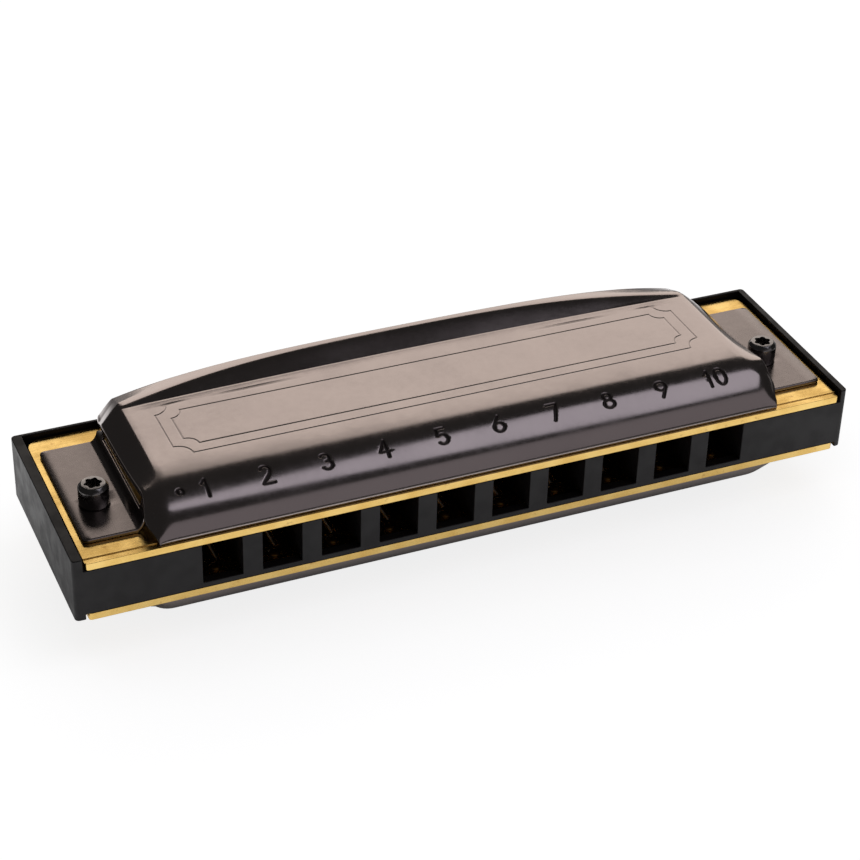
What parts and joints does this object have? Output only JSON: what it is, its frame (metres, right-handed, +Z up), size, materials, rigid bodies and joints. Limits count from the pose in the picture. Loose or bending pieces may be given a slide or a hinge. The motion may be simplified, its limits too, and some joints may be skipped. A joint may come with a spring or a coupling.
{
  "type": "diatonic harmonica",
  "caption": "Small black diatonic mouth organ: moulded comb with a row of square blow holes, brass reed plates with riveted reeds, domed black covers held by tall cap bolts.",
  "frame": {"origin": "under the middle of the comb, level with the lowest line of the lower cover", "axes": "+X along the row of blow holes from hole 1 to hole 10, -Y towards the player's mouth, +Z up through the upper cover; the comb is level"},
  "size_m": [0.1032, 0.0278, 0.0203],
  "materials": {
    "comb_plastic": "fine moulded satin",
    "plate_brass": "milled, slightly tarnished",
    "reed_brass": "ground along the reed",
    "cover_enamel": "semi-gloss black coating",
    "bolt_black_steel": "black oxide",
    "screw_steel": "turned bright"
  },
  "bodies": {
    "harmonica_body": {"comb": "comb_plastic", "upper_reed_plate": "plate_brass", "lower_reed_plate": "plate_brass", "blow_rivet_01": "plate_brass", "blow_rivet_02": "plate_brass", "blow_rivet_03": "plate_brass", "blow_rivet_04": "plate_brass", "blow_rivet_05": "plate_brass", "blow_rivet_06": "plate_brass", "blow_rivet_07": "plate_brass", "blow_rivet_08": "plate_brass", "blow_rivet_09": "plate_brass", "blow_rivet_10": "plate_brass", "draw_rivet_01": "plate_brass", "draw_rivet_02": "plate_brass", "draw_rivet_03": "plate_brass", "draw_rivet_04": "plate_brass", "draw_rivet_05": "plate_brass", "draw_rivet_06": "plate_brass", "draw_rivet_07": "plate_brass", "draw_rivet_08": "plate_brass", "draw_rivet_09": "plate_brass", "draw_rivet_10": "plate_brass", "upper_cover": "cover_enamel", "lower_cover": "cover_enamel", "left_bolt": "bolt_black_steel", "right_bolt": "bolt_black_steel", "left_nut": "bolt_black_steel", "right_nut": "bolt_black_steel", "upper_plate_screw_1": "screw_steel", "upper_plate_screw_2": "screw_steel", "upper_plate_screw_3": "screw_steel", "upper_plate_screw_4": "screw_steel", "upper_plate_screw_5": "screw_steel", "lower_plate_screw_1": "screw_steel", "lower_plate_screw_2": "screw_steel", "lower_plate_screw_3": "screw_steel", "lower_plate_screw_4": "screw_steel", "lower_plate_screw_5": "screw_steel"},
    "blow_reed_01": {"blow_reed_01": "reed_brass"},
    "blow_reed_02": {"blow_reed_02": "reed_brass"},
    "blow_reed_03": {"blow_reed_03": "reed_brass"},
    "blow_reed_04": {"blow_reed_04": "reed_brass"},
    "blow_reed_05": {"blow_reed_05": "reed_brass"},
    "blow_reed_06": {"blow_reed_06": "reed_brass"},
    "blow_reed_07": {"blow_reed_07": "reed_brass"},
    "blow_reed_08": {"blow_reed_08": "reed_brass"},
    "blow_reed_09": {"blow_reed_09": "reed_brass"},
    "blow_reed_10": {"blow_reed_10": "reed_brass"},
    "draw_reed_01": {"draw_reed_01": "reed_brass"},
    "draw_reed_02": {"draw_reed_02": "reed_brass"},
    "draw_reed_03": {"draw_reed_03": "reed_brass"},
    "draw_reed_04": {"draw_reed_04": "reed_brass"},
    "draw_reed_05": {"draw_reed_05": "reed_brass"},
    "draw_reed_06": {"draw_reed_06": "reed_brass"},
    "draw_reed_07": {"draw_reed_07": "reed_brass"},
    "draw_reed_08": {"draw_reed_08": "reed_brass"},
    "draw_reed_09": {"draw_reed_09": "reed_brass"},
    "draw_reed_10": {"draw_reed_10": "reed_brass"}
  },
  "joints": [
    {"name": "blow_reed_01_swing", "type": "hinge", "parent": "harmonica_body", "child": "blow_reed_01", "pos_m": [-0.0335, -0.01052, 0.01311], "axis": [1, 0, 0], "range_deg": [-3, 3], "stiffness_Nm_per_rad": 0.01},
    {"name": "blow_reed_02_swing", "type": "hinge", "parent": "harmonica_body", "child": "blow_reed_02", "pos_m": [-0.026, -0.01052, 0.01311], "axis": [1, 0, 0], "range_deg": [-3, 3], "stiffness_Nm_per_rad": 0.01},
    {"name": "blow_reed_03_swing", "type": "hinge", "parent": "harmonica_body", "child": "blow_reed_03", "pos_m": [-0.0185, -0.01052, 0.01311], "axis": [1, 0, 0], "range_deg": [-3, 3], "stiffness_Nm_per_rad": 0.01},
    {"name": "blow_reed_04_swing", "type": "hinge", "parent": "harmonica_body", "child": "blow_reed_04", "pos_m": [-0.011, -0.01052, 0.01311], "axis": [1, 0, 0], "range_deg": [-3, 3], "stiffness_Nm_per_rad": 0.01},
    {"name": "blow_reed_05_swing", "type": "hinge", "parent": "harmonica_body", "child": "blow_reed_05", "pos_m": [-0.0035, -0.01052, 0.01311], "axis": [1, 0, 0], "range_deg": [-3, 3], "stiffness_Nm_per_rad": 0.01},
    {"name": "blow_reed_06_swing", "type": "hinge", "parent": "harmonica_body", "child": "blow_reed_06", "pos_m": [0.004, -0.01052, 0.01311], "axis": [1, 0, 0], "range_deg": [-3, 3], "stiffness_Nm_per_rad": 0.01},
    {"name": "blow_reed_07_swing", "type": "hinge", "parent": "harmonica_body", "child": "blow_reed_07", "pos_m": [0.0115, -0.01052, 0.01311], "axis": [1, 0, 0], "range_deg": [-3, 3], "stiffness_Nm_per_rad": 0.01},
    {"name": "blow_reed_08_swing", "type": "hinge", "parent": "harmonica_body", "child": "blow_reed_08", "pos_m": [0.019, -0.01052, 0.01311], "axis": [1, 0, 0], "range_deg": [-3, 3], "stiffness_Nm_per_rad": 0.01},
    {"name": "blow_reed_09_swing", "type": "hinge", "parent": "harmonica_body", "child": "blow_reed_09", "pos_m": [0.0265, -0.01052, 0.01311], "axis": [1, 0, 0], "range_deg": [-3, 3], "stiffness_Nm_per_rad": 0.01},
    {"name": "blow_reed_10_swing", "type": "hinge", "parent": "harmonica_body", "child": "blow_reed_10", "pos_m": [0.034, -0.01052, 0.01311], "axis": [1, 0, 0], "range_deg": [-3, 3], "stiffness_Nm_per_rad": 0.01},
    {"name": "draw_reed_01_swing", "type": "hinge", "parent": "harmonica_body", "child": "draw_reed_01", "pos_m": [-0.0335, -0.01052, 0.00589], "axis": [1, 0, 0], "range_deg": [-3, 3], "stiffness_Nm_per_rad": 0.01},
    {"name": "draw_reed_02_swing", "type": "hinge", "parent": "harmonica_body", "child": "draw_reed_02", "pos_m": [-0.026, -0.01052, 0.00589], "axis": [1, 0, 0], "range_deg": [-3, 3], "stiffness_Nm_per_rad": 0.01},
    {"name": "draw_reed_03_swing", "type": "hinge", "parent": "harmonica_body", "child": "draw_reed_03", "pos_m": [-0.0185, -0.01052, 0.00589], "axis": [1, 0, 0], "range_deg": [-3, 3], "stiffness_Nm_per_rad": 0.01},
    {"name": "draw_reed_04_swing", "type": "hinge", "parent": "harmonica_body", "child": "draw_reed_04", "pos_m": [-0.011, -0.01052, 0.00589], "axis": [1, 0, 0], "range_deg": [-3, 3], "stiffness_Nm_per_rad": 0.01},
    {"name": "draw_reed_05_swing", "type": "hinge", "parent": "harmonica_body", "child": "draw_reed_05", "pos_m": [-0.0035, -0.01052, 0.00589], "axis": [1, 0, 0], "range_deg": [-3, 3], "stiffness_Nm_per_rad": 0.01},
    {"name": "draw_reed_06_swing", "type": "hinge", "parent": "harmonica_body", "child": "draw_reed_06", "pos_m": [0.004, -0.01052, 0.00589], "axis": [1, 0, 0], "range_deg": [-3, 3], "stiffness_Nm_per_rad": 0.01},
    {"name": "draw_reed_07_swing", "type": "hinge", "parent": "harmonica_body", "child": "draw_reed_07", "pos_m": [0.0115, -0.01052, 0.00589], "axis": [1, 0, 0], "range_deg": [-3, 3], "stiffness_Nm_per_rad": 0.01},
    {"name": "draw_reed_08_swing", "type": "hinge", "parent": "harmonica_body", "child": "draw_reed_08", "pos_m": [0.019, -0.01052, 0.00589], "axis": [1, 0, 0], "range_deg": [-3, 3], "stiffness_Nm_per_rad": 0.01},
    {"name": "draw_reed_09_swing", "type": "hinge", "parent": "harmonica_body", "child": "draw_reed_09", "pos_m": [0.0265, -0.01052, 0.00589], "axis": [1, 0, 0], "range_deg": [-3, 3], "stiffness_Nm_per_rad": 0.01},
    {"name": "draw_reed_10_swing", "type": "hinge", "parent": "harmonica_body", "child": "draw_reed_10", "pos_m": [0.034, -0.01052, 0.00589], "axis": [1, 0, 0], "range_deg": [-3, 3], "stiffness_Nm_per_rad": 0.01}
  ]
}
